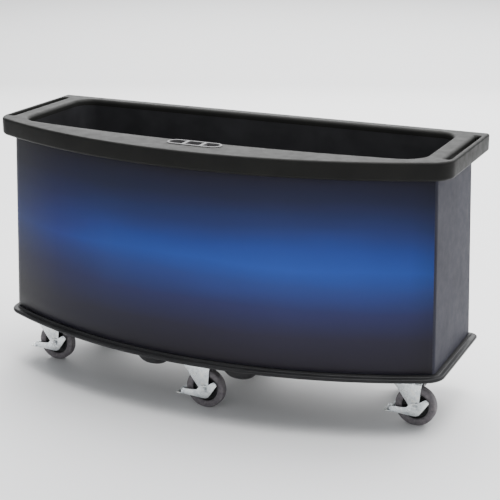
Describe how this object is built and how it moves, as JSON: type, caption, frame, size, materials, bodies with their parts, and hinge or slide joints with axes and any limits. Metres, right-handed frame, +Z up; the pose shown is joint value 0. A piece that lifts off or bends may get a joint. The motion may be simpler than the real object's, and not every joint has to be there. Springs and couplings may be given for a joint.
{
  "type": "mobile ice bar",
  "caption": "Long curved-front ice bar on swivel casters, with an insulated well, push-handle slots, an accessory caddy in the deck and a bumper base.",
  "frame": {"origin": "on the floor, under the centre of the bounding box", "axes": "+X runs along the bar, -Y is the curved customer side, +Y is the straight operator side, +Z is up"},
  "size_m": [1.8, 0.72, 1.0128],
  "materials": {
    "rim_plastic": "low-sheen moulded polyethylene",
    "liner_plastic": "low-sheen moulded polyethylene",
    "insulation_foam": "open-cell cut foam",
    "shell_plastic": "low-sheen moulded polyethylene",
    "graphic_panel": "satin printed sheet with a blue gradient",
    "base_plastic": "low-sheen moulded polyethylene",
    "frame_steel": "black powder coat",
    "holder_plastic": "moulded polypropylene",
    "grate_plastic": "moulded polypropylene",
    "zinc_plate": "bright zinc plate",
    "drain_plastic": "moulded nylon",
    "lever_grip": "dipped vinyl",
    "wheel_core": "moulded polypropylene",
    "wheel_tread": "grey non-marking rubber"
  },
  "bodies": {
    "cart": {"top_rim": "rim_plastic", "ice_well": "liner_plastic", "foam_core": "insulation_foam", "body_shell": "shell_plastic", "front_panel": "graphic_panel", "base_skirt": "base_plastic", "support_frame": "frame_steel", "accessory_holder": "holder_plastic", "drain_strainer": "zinc_plate", "drain_fitting": "drain_plastic", "drain_locknut": "drain_plastic", "drain_pipe": "drain_plastic", "drain_valve_body": "drain_plastic", "caster_plate_front_left": "zinc_plate", "caster_plate_front_middle": "zinc_plate", "caster_plate_front_right": "zinc_plate", "caster_plate_rear_left": "zinc_plate", "caster_plate_rear_middle": "zinc_plate", "caster_plate_rear_right": "zinc_plate"},
    "fork_front_left": {"caster_fork_front_left": "zinc_plate", "caster_axle_front_left": "zinc_plate"},
    "wheel_front_left": {"wheel_core_front_left": "wheel_core", "wheel_tread_front_left": "wheel_tread"},
    "pedal_front_left": {"brake_pedal_front_left": "zinc_plate"},
    "fork_front_middle": {"caster_fork_front_middle": "zinc_plate", "caster_axle_front_middle": "zinc_plate"},
    "wheel_front_middle": {"wheel_core_front_middle": "wheel_core", "wheel_tread_front_middle": "wheel_tread"},
    "pedal_front_middle": {"brake_pedal_front_middle": "zinc_plate"},
    "fork_front_right": {"caster_fork_front_right": "zinc_plate", "caster_axle_front_right": "zinc_plate"},
    "wheel_front_right": {"wheel_core_front_right": "wheel_core", "wheel_tread_front_right": "wheel_tread"},
    "pedal_front_right": {"brake_pedal_front_right": "zinc_plate"},
    "fork_rear_left": {"caster_fork_rear_left": "zinc_plate", "caster_axle_rear_left": "zinc_plate"},
    "wheel_rear_left": {"wheel_core_rear_left": "wheel_core", "wheel_tread_rear_left": "wheel_tread"},
    "fork_rear_middle": {"caster_fork_rear_middle": "zinc_plate", "caster_axle_rear_middle": "zinc_plate"},
    "wheel_rear_middle": {"wheel_core_rear_middle": "wheel_core", "wheel_tread_rear_middle": "wheel_tread"},
    "fork_rear_right": {"caster_fork_rear_right": "zinc_plate", "caster_axle_rear_right": "zinc_plate"},
    "wheel_rear_right": {"wheel_core_rear_right": "wheel_core", "wheel_tread_rear_right": "wheel_tread"},
    "grate_left": {"false_bottom_left": "grate_plastic"},
    "grate_right": {"false_bottom_right": "grate_plastic"},
    "drain_lever": {"drain_valve_ball": "zinc_plate", "drain_valve_handle": "lever_grip"}
  },
  "joints": [
    {"name": "swivel_front_left", "type": "hinge", "parent": "cart", "child": "fork_front_left", "pos_m": [-0.762, -0.04, 0.17], "axis": [0, 0, 1], "continuous": true},
    {"name": "roll_front_left", "type": "hinge", "parent": "fork_front_left", "child": "wheel_front_left", "pos_m": [-0.74, -0.04, 0.076], "axis": [0, 1, 0], "continuous": true},
    {"name": "brake_front_left", "type": "hinge", "parent": "fork_front_left", "child": "pedal_front_left", "pos_m": [-0.74, -0.04, 0.076], "axis": [0, -1, 0], "range_deg": [0, 14]},
    {"name": "swivel_front_middle", "type": "hinge", "parent": "cart", "child": "fork_front_middle", "pos_m": [0, -0.212, 0.17], "axis": [0, 0, 1], "continuous": true},
    {"name": "roll_front_middle", "type": "hinge", "parent": "fork_front_middle", "child": "wheel_front_middle", "pos_m": [0.022, -0.212, 0.076], "axis": [0, 1, 0], "continuous": true},
    {"name": "brake_front_middle", "type": "hinge", "parent": "fork_front_middle", "child": "pedal_front_middle", "pos_m": [0.022, -0.212, 0.076], "axis": [0, -1, 0], "range_deg": [0, 14]},
    {"name": "swivel_front_right", "type": "hinge", "parent": "cart", "child": "fork_front_right", "pos_m": [0.762, -0.04, 0.17], "axis": [0, 0, 1], "continuous": true},
    {"name": "roll_front_right", "type": "hinge", "parent": "fork_front_right", "child": "wheel_front_right", "pos_m": [0.784, -0.04, 0.076], "axis": [0, 1, 0], "continuous": true},
    {"name": "brake_front_right", "type": "hinge", "parent": "fork_front_right", "child": "pedal_front_right", "pos_m": [0.784, -0.04, 0.076], "axis": [0, -1, 0], "range_deg": [0, 14]},
    {"name": "swivel_rear_left", "type": "hinge", "parent": "cart", "child": "fork_rear_left", "pos_m": [-0.65, 0.23, 0.17], "axis": [0, 0, 1], "continuous": true},
    {"name": "roll_rear_left", "type": "hinge", "parent": "fork_rear_left", "child": "wheel_rear_left", "pos_m": [-0.628, 0.23, 0.076], "axis": [0, 1, 0], "continuous": true},
    {"name": "swivel_rear_middle", "type": "hinge", "parent": "cart", "child": "fork_rear_middle", "pos_m": [0, 0.23, 0.17], "axis": [0, 0, 1], "continuous": true},
    {"name": "roll_rear_middle", "type": "hinge", "parent": "fork_rear_middle", "child": "wheel_rear_middle", "pos_m": [0.022, 0.23, 0.076], "axis": [0, 1, 0], "continuous": true},
    {"name": "swivel_rear_right", "type": "hinge", "parent": "cart", "child": "fork_rear_right", "pos_m": [0.65, 0.23, 0.17], "axis": [0, 0, 1], "continuous": true},
    {"name": "roll_rear_right", "type": "hinge", "parent": "fork_rear_right", "child": "wheel_rear_right", "pos_m": [0.672, 0.23, 0.076], "axis": [0, 1, 0], "continuous": true},
    {"name": "grate_lift_left", "type": "slide", "parent": "cart", "child": "grate_left", "axis": [0, 0, 1], "range_m": [0, 0.32]},
    {"name": "grate_lift_right", "type": "slide", "parent": "cart", "child": "grate_right", "axis": [0, 0, 1], "range_m": [0, 0.32]},
    {"name": "drain_valve", "type": "hinge", "parent": "cart", "child": "drain_lever", "pos_m": [0.33, 0.05, 0.196], "axis": [0, 1, 0], "range_deg": [0, 90]}
  ]
}
